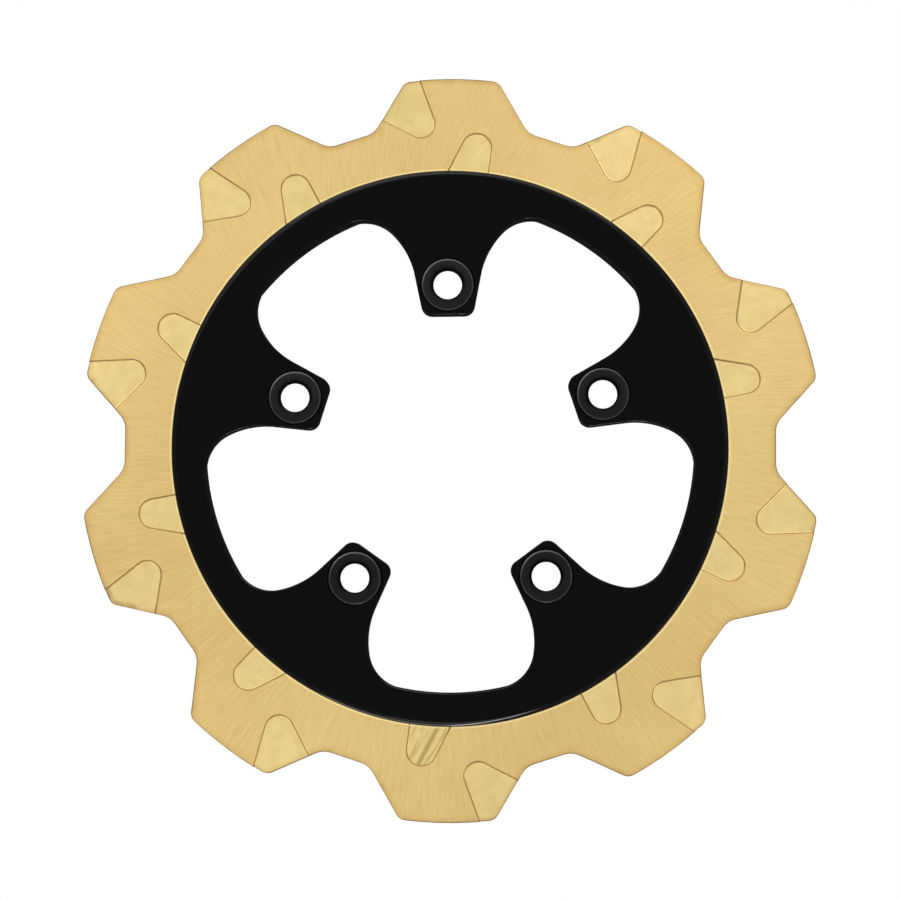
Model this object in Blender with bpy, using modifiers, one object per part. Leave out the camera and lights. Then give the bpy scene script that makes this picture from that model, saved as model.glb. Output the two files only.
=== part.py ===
"""Motorcycle brake disc rotor, 300 mm class, two-piece semi-floating.

A toothed steel friction ring is carried on a black billet carrier. The
carrier's front rim laps over the ring's inner edge. Ten drive pins sit half in
the ring and half in the carrier, and a retaining ring, held by ten countersunk
screws from behind, keeps ring and pins in place. Five flanged steel bushes
line the bolt holes in the carrier's lugs.

Units are metres, +Z is up. The origin is the rotor's centre, on the axle line
and half way through the friction ring. The axle line is Y, and the outer face
looks along -Y. Every piece hangs on the empty "axle_line", whose own +Z is the
outward direction of the axle, so heights below are measured from the middle of
the friction ring towards the outer face.
"""

import math

import bmesh
import bpy
from mathutils import Matrix

MM = 0.001

# Friction ring
LOBES = 10
TOOTH_FIRST_ANGLE = 89.14  # degrees, a tooth stands almost in line with a lug
TIP_RADIUS = 150.0 * MM  # outer radius of each tooth
TIP_HALF_ANGLE = 7.31  # degrees, from a tooth's middle to its sharp corner
VALLEY_RADIUS = 131.0 * MM  # distance of the valley flat from the centre
ROOT_HALF_ANGLE = 13.82  # degrees, from a tooth's middle to the valley's corner
TIP_FILLET = 4.6 * MM
ROOT_FILLET = 8.5 * MM
RING_THICKNESS = 5.0 * MM
RING_INNER = 106.9 * MM
POCKET_DEPTH = 0.8 * MM

# Cleaning pockets: a tongue with one round end, seen from the outer face, in a
# tooth's own frame (x to the right, y away from the centre)
OUTER_POCKET = {
    "centre": (-12.3 * MM, 131.4 * MM),
    "radius": 6.0 * MM,
    "edges": (110.6, 153.5),
    "lengths": (34.0 * MM, 24.0 * MM),
}
INNER_POCKET = {
    "centre": (10.4 * MM, 121.5 * MM),
    "radius": 6.25 * MM,
    "edges": (242.9, 262.7),
    "lengths": (25.0 * MM, 22.0 * MM),
}

# Carrier
RIM_RADIUS = 112.0 * MM
RIM_ROUND = 2.6 * MM
HUB_RADIUS = 106.4 * MM  # the wall that the friction ring is centred on
FACE_HEIGHT = 5.5 * MM  # outer face of the carrier
RIM_BACK = 2.85 * MM  # back of the rim that laps over the friction ring
HUB_BACK = -2.55 * MM  # back face of the carrier
BOSS_BACK = -6.5 * MM
BOSS_RADIUS = 11.5 * MM
LUGS = 5
BOLT_RADIUS = 65.0 * MM  # half of the 130 mm bolt circle
WINDOW_RADIUS = 98.8 * MM
LUG_END = 53.0 * MM  # distance of a lug's flat end from the centre
LUG_SIDE_ANGLE = 11.36  # degrees between a lug's side and its middle line
LUG_SIDE_AT = (11.18 * MM, 58.4 * MM)  # a point on the lug's side
LUG_CORNER = 4.5 * MM
LUG_SIDE_TOP = 70.0 * MM  # where the side begins to sweep out
SWEEP_RADIUS = 33.3 * MM
SWEEP_TO = 45.0  # degrees at the sweep's end
COUNTERBORE_RADIUS = 10.9 * MM
COUNTERBORE_FLOOR = 4.7 * MM
LUG_BORE = 8.0 * MM

# Mounting bushes
BUSH_FLANGE = 10.6 * MM
BUSH_FRONT = 6.5 * MM
BUSH_UNDER_FLANGE = 5.0 * MM
BUSH_BACK = 1.0 * MM
BUSH_SHANK = 7.7 * MM
BUSH_BORE = 5.75 * MM  # for an 11.5 mm shouldered wheel bolt
BUSH_BORE_FRONT = 5.0 * MM
BUSH_BORE_BACK = 4.0 * MM
BUSH_CHAMFER = 1.2 * MM
BUSH_MOUTH = 6.8 * MM  # the bore opens to this at the back end

# Drive pins and retaining ring
PINS = 10
PIN_CIRCLE = 106.65 * MM
PIN_RADIUS = 3.5 * MM
PIN_CLEARANCE = 0.35 * MM
PIN_FRONT = 2.7 * MM
PIN_BACK = -2.55 * MM
PIN_FIRST_ANGLE = TOOTH_FIRST_ANGLE + 18.0  # degrees, half way between two teeth
RETAINER_OUTER = 111.4 * MM
RETAINER_INNER = 98.9 * MM
RETAINER_FRONT = -2.85 * MM
RETAINER_BACK = -5.5 * MM
RETAINER_CHAMFER = 0.8 * MM

# Retaining screws, M3 countersunk
SCREWS = 10
SCREW_CIRCLE = 102.9 * MM
SCREW_SHANK = 1.5 * MM
SCREW_HEAD = 2.9 * MM
SCREW_BACK = -5.4 * MM
SCREW_TIP = 2.7 * MM
SCREW_GAP = 0.3 * MM
SOCKET_ACROSS_FLATS = 2.0 * MM
SOCKET_DEPTH = 1.0 * MM

STEPS_LARGE = 90
TURNED_START = 1.1  # degrees, keeps the turned facets' edges off the holes' corners
STEPS_BUSH = 24
STEPS_SMALL = 12


def clear_scene():
    for obj in list(bpy.data.objects):
        bpy.data.objects.remove(obj)


def new_collection(name):
    collection = bpy.data.collections.new(name)
    bpy.context.scene.collection.children.link(collection)
    return collection


def material(name, colour, metallic, roughness, coat=0.0):
    mat = bpy.data.materials.new(name)
    mat.use_nodes = True
    shader = mat.node_tree.nodes["Principled BSDF"]
    shader.inputs["Base Color"].default_value = (*colour, 1.0)
    shader.inputs["Metallic"].default_value = metallic
    shader.inputs["Roughness"].default_value = roughness
    shader.inputs["Coat Weight"].default_value = coat
    mat.diffuse_color = (*colour, 1.0)
    return mat


def polar(radius, degrees):
    a = math.radians(degrees)
    return (radius * math.cos(a), radius * math.sin(a))


def filleted(corners, steps):
    """The closed outline through (x, y, fillet radius) corners, each non-zero radius rounded by an arc of so many steps."""
    points = []
    count = len(corners)
    for i, (x, y, radius) in enumerate(corners):
        if not radius:
            points.append((x, y))
            continue
        px, py, _ = corners[i - 1]
        nx, ny, _ = corners[(i + 1) % count]
        ax, ay = px - x, py - y
        bx, by = nx - x, ny - y
        la, lb = math.hypot(ax, ay), math.hypot(bx, by)
        ax, ay, bx, by = ax / la, ay / la, bx / lb, by / lb
        half = math.acos(max(-1.0, min(1.0, ax * bx + ay * by))) / 2
        reach = radius / math.tan(half)
        mx, my = ax + bx, ay + by
        lm = math.hypot(mx, my)
        cx = x + mx / lm * radius / math.sin(half)
        cy = y + my / lm * radius / math.sin(half)
        start = math.atan2(y + ay * reach - cy, x + ax * reach - cx)
        end = math.atan2(y + by * reach - cy, x + bx * reach - cx)
        turn = (end - start + math.pi) % (2 * math.pi) - math.pi
        for k in range(steps + 1):
            a = start + turn * k / steps
            points.append((cx + radius * math.cos(a), cy + radius * math.sin(a)))
    return points


def tooth_frame(point, degrees):
    """A point of a frame whose y axis points outward at this angle, in the rotor's frame."""
    a = math.radians(degrees - 90.0)
    x, y = point
    return (x * math.cos(a) - y * math.sin(a), x * math.sin(a) + y * math.cos(a))


def ring_outline():
    corners = []
    for lobe in range(LOBES):
        middle = TOOTH_FIRST_ANGLE - 360.0 / LOBES * lobe
        for k in range(7):
            angle = middle + TIP_HALF_ANGLE - 2 * TIP_HALF_ANGLE * k / 6
            corners.append((*polar(TIP_RADIUS, angle), TIP_FILLET if k in (0, 6) else 0))
        valley = middle - 180.0 / LOBES
        half = 180.0 / LOBES - ROOT_HALF_ANGLE
        root = VALLEY_RADIUS / math.cos(math.radians(half))
        for side in (half, -half):
            corners.append((*polar(root, valley + side), ROOT_FILLET))
    return filleted(corners, 6)


def notched_circle(radius, notch_radius, arc_steps=6, notch_steps=8):
    """A circle with a round notch cut outward at each drive pin."""
    points = []
    pitch = 360.0 / PINS
    # Where a notch's circle crosses the ring's inner circle, seen from both centres
    cosine = (PIN_CIRCLE**2 + radius**2 - notch_radius**2) / (2 * PIN_CIRCLE * radius)
    spread = math.degrees(math.acos(cosine))
    for pin in range(PINS):
        middle = PIN_FIRST_ANGLE - pitch * pin
        centre = polar(PIN_CIRCLE, middle)
        first = polar(radius, middle + spread)
        last = polar(radius, middle - spread)
        start = math.atan2(first[1] - centre[1], first[0] - centre[0])
        end = math.atan2(last[1] - centre[1], last[0] - centre[0])
        turn = (end - start) % (-2 * math.pi)
        for k in range(notch_steps + 1):
            a = start + turn * k / notch_steps
            points.append(
                (
                    centre[0] + notch_radius * math.cos(a),
                    centre[1] + notch_radius * math.sin(a),
                )
            )
        left = pitch - 2 * spread
        for k in range(1, arc_steps):
            points.append(polar(radius, middle - spread - left * k / arc_steps))
    return points


def tongue(pocket, degrees, steps=6):
    """A pocket's outline: a round end, and two straight edges that run out of the ring."""
    cx, cy = pocket["centre"]
    radius = pocket["radius"]
    first, second = (math.radians(a) for a in pocket["edges"])
    start, end = first - math.pi / 2, second + math.pi / 2
    turn = (end - start) % (2 * math.pi) - 2 * math.pi
    arc = []
    for k in range(steps + 1):
        a = start + turn * k / steps
        arc.append((cx + radius * math.cos(a), cy + radius * math.sin(a)))
    out, back = pocket["lengths"]
    head = (arc[0][0] + out * math.cos(first), arc[0][1] + out * math.sin(first))
    tail = (arc[-1][0] + back * math.cos(second), arc[-1][1] + back * math.sin(second))
    return [tooth_frame(p, degrees) for p in [head, *arc, tail]]


def lug_side():
    """The right-hand side of a lug in its own frame, from the flat end out to the window's outer arc, and the angle from the lug's middle at which it meets that arc."""
    slope = math.tan(math.radians(LUG_SIDE_ANGLE))
    at_x, at_y = LUG_SIDE_AT
    corner = (at_x + slope * (LUG_END - at_y), LUG_END)
    top = (at_x + slope * (LUG_SIDE_TOP - at_y), LUG_SIDE_TOP)
    points = filleted([(0.0, LUG_END, 0), (*corner, LUG_CORNER), (*top, 0)], 3)[1:]
    start, end = math.radians(LUG_SIDE_ANGLE), math.radians(SWEEP_TO)
    cx = top[0] + SWEEP_RADIUS * math.cos(start)
    cy = top[1] - SWEEP_RADIUS * math.sin(start)
    for k in range(1, 5):
        a = start + (end - start) * k / 4
        points.append((cx - SWEEP_RADIUS * math.cos(a), cy + SWEEP_RADIUS * math.sin(a)))
    # The window's corner arc goes on from the sweep and is tangent to the outer arc
    px, py = points[-1]
    along = px * math.cos(end) - py * math.sin(end)
    radius = (WINDOW_RADIUS**2 - px * px - py * py) / (2 * (WINDOW_RADIUS + along))
    cx, cy = px + radius * math.cos(end), py - radius * math.sin(end)
    meets = math.atan2(cx, cy)
    finish = math.pi / 2 + meets
    for k in range(1, 6):
        a = end + (finish - end) * k / 5
        points.append((cx - radius * math.cos(a), cy + radius * math.sin(a)))
    return points, math.degrees(meets)


def carrier_opening():
    """The one opening inside the carrier: the centre and the five windows, with the lugs left standing in it."""
    side, meets = lug_side()
    pitch = 360.0 / LUGS
    points = []
    for lug in range(LUGS):
        middle = 90.0 - pitch * lug
        points += [tooth_frame((-x, y), middle) for x, y in reversed(side)]
        points += [tooth_frame(p, middle) for p in side]
        left = pitch - 2 * meets
        for k in range(1, 8):
            points.append(polar(WINDOW_RADIUS, middle - meets - left * k / 8))
    return points


def place(obj, collection, parent, spot=(0.0, 0.0), turn=0.0, mat=None):
    collection.objects.link(obj)
    obj.parent = parent
    obj.location = (spot[0], spot[1], 0.0)
    obj.rotation_euler = (0.0, 0.0, math.radians(turn))
    if mat is not None:
        obj.data.materials.clear()
        obj.data.materials.append(mat)
    return obj


def flat_mesh(name, outlines, low, high):
    """A mesh of the flat shape between these outlines, from one height to another."""
    curve = bpy.data.curves.new(name, "CURVE")
    curve.dimensions = "2D"
    curve.fill_mode = "BOTH"
    curve.extrude = (high - low) / 2
    for outline in outlines:
        spline = curve.splines.new("POLY")
        spline.points.add(len(outline) - 1)
        for point, (x, y) in zip(spline.points, outline):
            point.co = (x, y, 0.0, 1.0)
        spline.use_cyclic_u = True
    guide = bpy.data.objects.new(name + "_curve", curve)
    bpy.context.scene.collection.objects.link(guide)
    bpy.context.view_layer.update()
    graph = bpy.context.evaluated_depsgraph_get()
    mesh = bpy.data.meshes.new_from_object(guide.evaluated_get(graph))
    bpy.data.objects.remove(guide)
    mesh.name = name
    bm = bmesh.new()
    bm.from_mesh(mesh)
    bmesh.ops.remove_doubles(bm, verts=bm.verts, dist=1e-6)
    bmesh.ops.translate(bm, verts=bm.verts, vec=(0.0, 0.0, (high + low) / 2))
    bmesh.ops.recalc_face_normals(bm, faces=bm.faces)
    bm.to_mesh(mesh)
    bm.free()
    return mesh


def profile_mesh(name, points, closed):
    """A turned piece's profile: (radius, height) points, down the outer side from the top."""
    mesh = bpy.data.meshes.new(name)
    bm = bmesh.new()
    verts = [bm.verts.new((r, 0.0, h)) for r, h in points]
    for a, b in zip(verts, verts[1:]):
        bm.edges.new((a, b))
    if closed:
        bm.edges.new((verts[-1], verts[0]))
    bm.to_mesh(mesh)
    bm.free()
    return mesh


def turned(obj, steps):
    screw = obj.modifiers.new("turn", "SCREW")
    screw.axis = "Z"
    screw.angle = math.tau
    screw.steps = steps
    screw.render_steps = steps
    screw.use_merge_vertices = True
    screw.merge_threshold = 1e-6
    screw.use_smooth_shade = True
    return screw


def boolean(obj, name, cutter, operation="DIFFERENCE"):
    modifier = obj.modifiers.new(name, "BOOLEAN")
    modifier.operation = operation
    modifier.solver = "EXACT"
    modifier.object = cutter
    return modifier


def hidden(obj):
    obj.hide_render = True
    obj.display_type = "WIRE"
    return obj


def copies_on_circle(name, mesh, count, radius, first_angle):
    """One mesh holding this mesh at each place of a circle."""
    bm = bmesh.new()
    for k in range(count):
        before = len(bm.verts)
        bm.from_mesh(mesh)
        bm.verts.ensure_lookup_table()
        angle = first_angle - 360.0 / count * k
        x, y = polar(radius, angle)
        move = Matrix.Translation((x, y, 0.0)) @ Matrix.Rotation(
            math.radians(angle), 4, "Z"
        )
        bmesh.ops.transform(bm, matrix=move, verts=bm.verts[before:])
    made = bpy.data.meshes.new(name)
    bm.to_mesh(made)
    bm.free()
    return made


def turned_copy(name, points, steps):
    """A plain closed mesh of a turned profile whose ends lie on the axis."""
    guide = bpy.data.objects.new(name, profile_mesh(name, points, False))
    bpy.context.scene.collection.objects.link(guide)
    turned(guide, steps)
    bpy.context.view_layer.update()
    graph = bpy.context.evaluated_depsgraph_get()
    mesh = bpy.data.meshes.new_from_object(guide.evaluated_get(graph))
    bpy.data.objects.remove(guide)
    return mesh


def smooth(obj):
    obj.data.shade_smooth()
    obj.data.set_sharp_from_angle(angle=math.radians(35))
    return obj


def build():
    clear_scene()
    rotor = new_collection("brake_disc_rotor")
    cutters = new_collection("cutters")

    axle = bpy.data.objects.new("axle_line", None)
    axle.empty_display_size = 0.05
    axle.rotation_euler = (math.radians(90), 0.0, 0.0)
    rotor.objects.link(axle)

    gold_steel = material("gold_steel", (0.74, 0.54, 0.22), 1.0, 0.34)
    gloss_black = material("gloss_black", (0.006, 0.006, 0.006), 0.0, 0.12, 1.0)
    black_plate = material("black_plate", (0.010, 0.010, 0.011), 0.0, 0.30)
    dark_steel = material("dark_steel", (0.030, 0.030, 0.032), 0.6, 0.42)
    bare_steel = material("bare_steel", (0.52, 0.52, 0.50), 1.0, 0.30)
    black_screw = material("black_screw", (0.020, 0.020, 0.022), 0.7, 0.38)

    def cutter(name, mesh):
        return hidden(place(bpy.data.objects.new(name, mesh), cutters, axle))

    # Friction ring, with a shallow open pocket pair on each tooth, on both faces
    pitch = 360.0 / LOBES
    tongues = [
        tongue(pocket, TOOTH_FIRST_ANGLE - pitch * lobe)
        for lobe in range(LOBES)
        for pocket in (OUTER_POCKET, INNER_POCKET)
    ]
    half = RING_THICKNESS / 2
    ring = place(
        bpy.data.objects.new(
            "friction_ring",
            flat_mesh(
                "friction_ring",
                [ring_outline(), notched_circle(RING_INNER, PIN_RADIUS + PIN_CLEARANCE)],
                -half,
                half,
            ),
        ),
        rotor,
        axle,
        mat=gold_steel,
    )
    front_floor = half - POCKET_DEPTH
    front = cutter(
        "pockets_front", flat_mesh("pockets_front", tongues, front_floor, half + MM)
    )
    back = cutter(
        "pockets_back", flat_mesh("pockets_back", tongues, -half - MM, -front_floor)
    )
    boolean(ring, "front pockets", front)
    boolean(ring, "back pockets", back)

    # Carrier: a turned rim and disc, opened by the centre and the windows
    rim = [(40.0 * MM, FACE_HEIGHT), (RIM_RADIUS - RIM_ROUND, FACE_HEIGHT)]
    for k in range(1, 4):
        a = math.radians(90.0 - 30.0 * k)
        rim.append(
            (
                RIM_RADIUS - RIM_ROUND + RIM_ROUND * math.cos(a),
                FACE_HEIGHT - RIM_ROUND + RIM_ROUND * math.sin(a),
            )
        )
    rim += [
        (RIM_RADIUS, RIM_BACK),
        (HUB_RADIUS, RIM_BACK),
        (HUB_RADIUS, HUB_BACK),
        (40.0 * MM, HUB_BACK),
    ]
    carrier = place(
        bpy.data.objects.new("carrier", profile_mesh("carrier", rim, True)),
        rotor,
        axle,
        turn=TURNED_START,
        mat=gloss_black,
    )
    turned(carrier, STEPS_LARGE)
    opening = cutter(
        "opening", flat_mesh("opening", [carrier_opening()], -20 * MM, 20 * MM)
    )

    boss = turned_copy(
        "boss",
        [
            (0.0, 0.0),
            (BOSS_RADIUS, 0.0),
            (BOSS_RADIUS, BOSS_BACK + 0.5 * MM),
            (BOSS_RADIUS - 0.5 * MM, BOSS_BACK),
            (0.0, BOSS_BACK),
        ],
        STEPS_BUSH,
    )
    bosses = cutter("bosses", copies_on_circle("bosses", boss, LUGS, BOLT_RADIUS, 90.0))

    seat = turned_copy(
        "seat",
        [
            (0.0, 8.0 * MM),
            (COUNTERBORE_RADIUS, 8.0 * MM),
            (COUNTERBORE_RADIUS, COUNTERBORE_FLOOR),
            (LUG_BORE, COUNTERBORE_FLOOR),
            (LUG_BORE, -8.0 * MM),
            (0.0, -8.0 * MM),
        ],
        STEPS_BUSH,
    )
    seats = cutter("seats", copies_on_circle("seats", seat, LUGS, BOLT_RADIUS, 90.0))

    recess = PIN_RADIUS + PIN_CLEARANCE
    pin_hole = turned_copy(
        "pin_hole",
        [
            (0.0, PIN_FRONT + SCREW_GAP),
            (recess, PIN_FRONT + SCREW_GAP),
            (recess, -4.0 * MM),
            (0.0, -4.0 * MM),
        ],
        16,
    )
    pin_holes = cutter(
        "pin_holes",
        copies_on_circle("pin_holes", pin_hole, PINS, PIN_CIRCLE, PIN_FIRST_ANGLE),
    )

    tapping = SCREW_SHANK + SCREW_GAP
    screw_hole = turned_copy(
        "screw_hole",
        [
            (0.0, SCREW_TIP + SCREW_GAP),
            (tapping, SCREW_TIP + SCREW_GAP),
            (tapping, -4.0 * MM),
            (0.0, -4.0 * MM),
        ],
        STEPS_SMALL,
    )
    screw_holes = cutter(
        "screw_holes",
        copies_on_circle("screw_holes", screw_hole, SCREWS, SCREW_CIRCLE, TOOTH_FIRST_ANGLE),
    )

    boolean(carrier, "pin holes", pin_holes)
    boolean(carrier, "screw holes", screw_holes)
    boolean(carrier, "opening", opening)
    boolean(carrier, "bosses", bosses, "UNION")
    boolean(carrier, "bush seats", seats)
    carrier.modifiers.new("weld", "WELD").merge_threshold = 1e-6
    smooth(carrier)

    # Retaining ring behind the friction ring
    retainer = place(
        bpy.data.objects.new(
            "retaining_ring",
            profile_mesh(
                "retaining_ring",
                [
                    (RETAINER_INNER, RETAINER_FRONT),
                    (RETAINER_OUTER, RETAINER_FRONT),
                    (RETAINER_OUTER, RETAINER_BACK + RETAINER_CHAMFER),
                    (RETAINER_OUTER - RETAINER_CHAMFER, RETAINER_BACK),
                    (RETAINER_INNER, RETAINER_BACK),
                ],
                True,
            ),
        ),
        rotor,
        axle,
        turn=TURNED_START,
        mat=black_plate,
    )
    turned(retainer, STEPS_LARGE)
    mouth = SCREW_HEAD + 0.35 * MM
    # The head's cone starts at this height, and the countersink 0.15 mm above it
    cone_start = SCREW_BACK + 0.2 * MM + (SCREW_HEAD - SCREW_SHANK) + 0.15 * MM
    sink = turned_copy(
        "countersink",
        [
            (0.0, 0.0),
            (tapping, 0.0),
            (tapping, cone_start),
            (mouth, cone_start - (mouth - tapping)),
            (mouth, -8.0 * MM),
            (0.0, -8.0 * MM),
        ],
        STEPS_SMALL,
    )
    sinks = cutter(
        "countersinks",
        copies_on_circle("countersinks", sink, SCREWS, SCREW_CIRCLE, TOOTH_FIRST_ANGLE),
    )
    boolean(retainer, "countersinks", sinks)
    smooth(retainer)

    # Mounting bushes, one mesh shared by five objects
    bush_mesh = profile_mesh(
        "mounting_bush",
        [
            (BUSH_BORE + BUSH_CHAMFER, BUSH_FRONT),
            (BUSH_FLANGE - 0.9 * MM, BUSH_FRONT),
            (BUSH_FLANGE - 0.25 * MM, BUSH_FRONT - 0.3 * MM),
            (BUSH_FLANGE, BUSH_FRONT - 0.9 * MM),
            (BUSH_FLANGE, BUSH_UNDER_FLANGE),
            (BUSH_SHANK, BUSH_UNDER_FLANGE),
            (BUSH_SHANK, BUSH_BACK),
            (BUSH_MOUTH, BUSH_BACK),
            (BUSH_BORE, BUSH_BORE_BACK),
            (BUSH_BORE, BUSH_BORE_FRONT),
        ],
        True,
    )
    for k in range(LUGS):
        angle = 90.0 - 360.0 / LUGS * k
        bush = place(
            bpy.data.objects.new(f"mounting_bush_{k + 1}", bush_mesh),
            rotor,
            axle,
            polar(BOLT_RADIUS, angle),
            angle,
            dark_steel,
        )
        turned(bush, STEPS_BUSH)
        smooth(bush)

    # Drive pins
    chamfer = 0.4 * MM
    pin_mesh = profile_mesh(
        "drive_pin",
        [
            (0.0, PIN_FRONT),
            (PIN_RADIUS - chamfer, PIN_FRONT),
            (PIN_RADIUS, PIN_FRONT - chamfer),
            (PIN_RADIUS, PIN_BACK + chamfer),
            (PIN_RADIUS - chamfer, PIN_BACK),
            (0.0, PIN_BACK),
        ],
        False,
    )
    for k in range(PINS):
        angle = PIN_FIRST_ANGLE - 360.0 / PINS * k
        pin = place(
            bpy.data.objects.new(f"drive_pin_{k + 1:02d}", pin_mesh),
            rotor,
            axle,
            polar(PIN_CIRCLE, angle),
            angle,
            bare_steel,
        )
        turned(pin, STEPS_SMALL)
        smooth(pin)

    # Retaining screws, driven from behind, with a hexagon socket
    screw_mesh = profile_mesh(
        "retaining_screw",
        [
            (0.0, SCREW_TIP),
            (SCREW_SHANK, SCREW_TIP),
            (SCREW_SHANK, SCREW_BACK + 0.2 * MM + (SCREW_HEAD - SCREW_SHANK)),
            (SCREW_HEAD, SCREW_BACK + 0.2 * MM),
            (SCREW_HEAD, SCREW_BACK),
            (0.0, SCREW_BACK),
        ],
        False,
    )
    for k in range(SCREWS):
        angle = TOOTH_FIRST_ANGLE - 360.0 / SCREWS * k
        screw = place(
            bpy.data.objects.new(f"retaining_screw_{k + 1:02d}", screw_mesh),
            rotor,
            axle,
            polar(SCREW_CIRCLE, angle),
            angle,
            black_screw,
        )
        turned(screw, STEPS_SMALL)
        bm = bmesh.new()
        bmesh.ops.create_cone(
            bm,
            cap_ends=True,
            segments=6,
            radius1=SOCKET_ACROSS_FLATS / math.sqrt(3),
            radius2=SOCKET_ACROSS_FLATS / math.sqrt(3),
            depth=2 * SOCKET_DEPTH,
            matrix=Matrix.Translation((0.0, 0.0, SCREW_BACK)),
        )
        socket_mesh = bpy.data.meshes.new(f"socket_{k + 1:02d}")
        bm.to_mesh(socket_mesh)
        bm.free()
        socket = cutter(f"socket_{k + 1:02d}", socket_mesh)
        socket.location = (*polar(SCREW_CIRCLE, angle), 0.0)
        socket.rotation_euler = (0.0, 0.0, math.radians(angle))
        boolean(screw, "socket", socket)
        smooth(screw)

    bpy.context.view_layer.update()


build()
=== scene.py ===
import math

import bmesh
import bpy
import numpy as np
from mathutils import Matrix, Vector, geometry


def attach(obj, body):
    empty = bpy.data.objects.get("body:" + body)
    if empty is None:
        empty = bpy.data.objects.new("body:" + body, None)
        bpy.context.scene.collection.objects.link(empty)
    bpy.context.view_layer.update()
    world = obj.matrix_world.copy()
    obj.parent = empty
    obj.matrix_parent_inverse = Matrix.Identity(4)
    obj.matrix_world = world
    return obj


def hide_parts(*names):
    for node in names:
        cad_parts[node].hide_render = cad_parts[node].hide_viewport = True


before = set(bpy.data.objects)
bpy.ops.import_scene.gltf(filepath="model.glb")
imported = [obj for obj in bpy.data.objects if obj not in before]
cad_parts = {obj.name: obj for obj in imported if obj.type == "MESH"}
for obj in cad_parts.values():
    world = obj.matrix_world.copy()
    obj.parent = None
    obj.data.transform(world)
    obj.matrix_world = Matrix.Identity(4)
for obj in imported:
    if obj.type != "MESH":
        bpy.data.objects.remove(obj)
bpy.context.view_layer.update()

# The looks of a motorcycle brake disc rotor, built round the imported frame.
# Every CAD node is replaced by a finer mesh of the same size and place. Outlines
# are worked out in millimetres in the rotor's own frame: x to the right, y up
# and h, the height, from the middle of the friction ring towards the outer face.

LOBES = 10
TEETH_TURN = -0.86  # degrees, the teeth against the lugs, seen from the outer face
TIP_RADIUS = 149.97
TIP_HALF_ANGLE = 7.31
VALLEY_RADIUS = 131.0
ROOT_HALF_ANGLE = 13.82
TIP_FILLET = 4.6
ROOT_FILLET = 8.5
RING_HALF = 2.5
RING_INNER = 106.9
OUTER_POCKET = ((-12.3, 131.4), 6.0, (110.6, 153.5), (34.0, 24.0))
INNER_POCKET = ((10.4, 121.5), 6.25, (242.9, 262.7), (25.0, 22.0))

RIM_RADIUS = 112.0
RIM_ROUND = 2.6
HUB_RADIUS = 106.4
FACE_HEIGHT = 5.5
RIM_BACK = 2.85
HUB_BACK = -2.55
BOSS_BACK = -6.5
BOSS_RADIUS = 11.5
LUGS = 5
BOLT_RADIUS = 65.0
WINDOW_RADIUS = 98.8
LUG_END = 53.0
LUG_SIDE_ANGLE = 11.36
LUG_SIDE_AT = (11.18, 58.4)
LUG_CORNER = 4.5
LUG_SIDE_TOP = 70.0
SWEEP_RADIUS = 33.3
SWEEP_TO = 45.0
COUNTERBORE_RADIUS = 10.9
COUNTERBORE_FLOOR = 4.7
LUG_BORE = 8.0

BUSH_FLANGE = 10.6
BUSH_FRONT = 6.5
BUSH_UNDER_FLANGE = 5.0
BUSH_BACK = 1.0
BUSH_SHANK = 7.7
BUSH_BORE = 5.75
BUSH_BORE_FRONT = 5.0
BUSH_BORE_BACK = 4.0
BUSH_CHAMFER = 1.2
BUSH_MOUTH = 6.8

PINS = 10
PIN_CIRCLE = 106.65
PIN_RADIUS = 3.5
PIN_NOTCH = 3.85
PIN_FRONT = 2.7
PIN_BACK = -2.55
RETAINER_OUTER = 111.4
RETAINER_INNER = 98.9
RETAINER_FRONT = -2.85
RETAINER_BACK = -5.5
SCREWS = 10
SCREW_CIRCLE = 102.9
SCREW_SHANK = 1.5
SCREW_HEAD = 2.9
SCREW_BACK = -5.4
SCREW_TIP = 2.7
SCREW_HOLE = 1.8
SINK_MOUTH = 3.25
SOCKET_FLATS = 2.0
SOCKET_DEPTH = 1.0

# The view: degrees of lean, swing and roll, and millimetres
VIEW_ANGLES = (-3.73, -1.22, 0.606)
VIEW_DISTANCE = 765.0
VIEW_WIDTH = 363.14  # width of the frame at the rotor's centre
VIEW_CENTRE = (-0.23, 1.34)  # the rotor's centre from the middle of the frame


# Outlines


def polar(radius, degrees):
    a = math.radians(degrees)
    return (radius * math.cos(a), radius * math.sin(a))


def filleted(corners, steps, closed=True):
    """The outline through (x, y, fillet radius) corners, each non-zero radius rounded by an arc of so many steps."""
    points = []
    count = len(corners)
    for i, (x, y, radius) in enumerate(corners):
        if not radius or (not closed and i in (0, count - 1)):
            points.append((x, y))
            continue
        px, py, _ = corners[i - 1]
        nx, ny, _ = corners[(i + 1) % count]
        ax, ay = px - x, py - y
        bx, by = nx - x, ny - y
        la, lb = math.hypot(ax, ay), math.hypot(bx, by)
        ax, ay, bx, by = ax / la, ay / la, bx / lb, by / lb
        half = math.acos(max(-1.0, min(1.0, ax * bx + ay * by))) / 2
        reach = radius / math.tan(half)
        mx, my = ax + bx, ay + by
        lm = math.hypot(mx, my)
        cx = x + mx / lm * radius / math.sin(half)
        cy = y + my / lm * radius / math.sin(half)
        start = math.atan2(y + ay * reach - cy, x + ax * reach - cx)
        end = math.atan2(y + by * reach - cy, x + bx * reach - cx)
        turn = (end - start + math.pi) % (2 * math.pi) - math.pi
        for k in range(steps + 1):
            a = start + turn * k / steps
            points.append((cx + radius * math.cos(a), cy + radius * math.sin(a)))
    return points


def tooth_frame(point, degrees):
    a = math.radians(degrees - 90.0)
    x, y = point
    return (x * math.cos(a) - y * math.sin(a), x * math.sin(a) + y * math.cos(a))


def circle(centre, radius, count, first=0.0):
    return [
        (
            centre[0] + radius * math.cos(math.radians(first + 360.0 * k / count)),
            centre[1] + radius * math.sin(math.radians(first + 360.0 * k / count)),
        )
        for k in range(count)
    ]


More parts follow.
